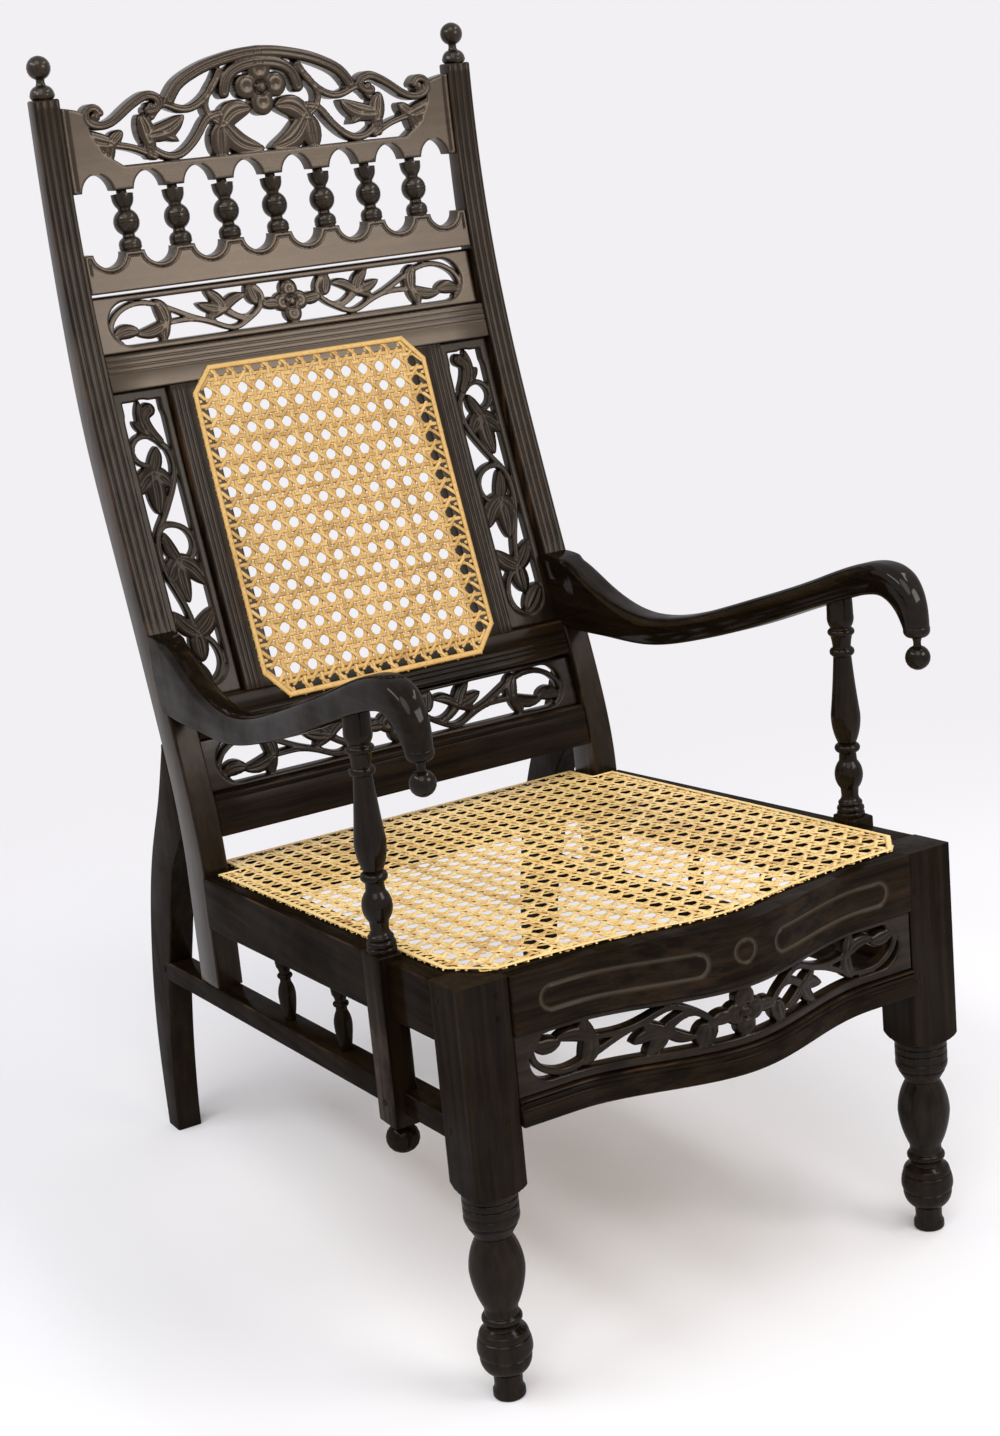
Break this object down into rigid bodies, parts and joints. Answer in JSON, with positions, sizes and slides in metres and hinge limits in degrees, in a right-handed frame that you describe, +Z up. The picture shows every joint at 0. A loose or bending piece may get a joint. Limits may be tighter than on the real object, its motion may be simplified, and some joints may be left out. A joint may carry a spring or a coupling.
{
  "type": "armchair",
  "caption": "High-backed open armchair with pierced vine carving, turned front legs, rolled arms, sabre rear legs and a hand-caned seat and back.",
  "frame": {"origin": "on the floor under the middle of the chair's bounding box", "axes": "+Z up, +Y from the front of the seat towards the back, +X to the right as seen from the front"},
  "size_m": [0.5514, 0.8108, 1.181],
  "materials": {
    "frame_wood": "ebonised hardwood with a satin polish, worn brown at the edges",
    "arm_wood": "ebonised hardwood polished blacker by handling",
    "peg_wood": "end grain pegs, slightly browner than the frame",
    "cane_back": "split rattan cane aged to a golden tan",
    "cane_seat": "split rattan cane, pale straw with browner wear"
  },
  "bodies": {
    "root": {"stile_left": "frame_wood", "stile_right": "frame_wood", "finial_left": "frame_wood", "finial_right": "frame_wood", "crest_rail": "frame_wood", "arcade_spindle_1": "frame_wood", "arcade_spindle_2": "frame_wood", "arcade_spindle_3": "frame_wood", "arcade_spindle_4": "frame_wood", "arcade_spindle_5": "frame_wood", "arcade_spindle_6": "frame_wood", "arcade_spindle_7": "frame_wood", "arcade_rail": "frame_wood", "upper_fret": "frame_wood", "back_top_rail": "frame_wood", "back_bottom_rail": "frame_wood", "inner_stile_left": "frame_wood", "inner_stile_right": "frame_wood", "side_fret_left": "frame_wood", "side_fret_right": "frame_wood", "cane_back": "cane_back", "lower_fret": "frame_wood", "lower_back_rail": "frame_wood", "front_leg_left": "frame_wood", "front_leg_right": "frame_wood", "rear_leg_left": "frame_wood", "rear_leg_right": "frame_wood", "side_rail_left": "frame_wood", "side_rail_right": "frame_wood", "rear_rail": "frame_wood", "front_rail": "frame_wood", "apron_fret": "frame_wood", "front_bottom_rail": "frame_wood", "cane_seat": "cane_seat", "stretcher_left": "frame_wood", "stretcher_right": "frame_wood", "side_spindle_left_1": "frame_wood", "side_spindle_left_2": "frame_wood", "side_spindle_right_1": "frame_wood", "side_spindle_right_2": "frame_wood", "arm_left": "arm_wood", "arm_right": "arm_wood", "arm_pendant_left": "frame_wood", "arm_pendant_right": "frame_wood", "arm_post_left": "frame_wood", "arm_post_right": "frame_wood", "pegs_front_legs": "peg_wood", "pegs_stretchers": "peg_wood"}
  },
  "joints": []
}
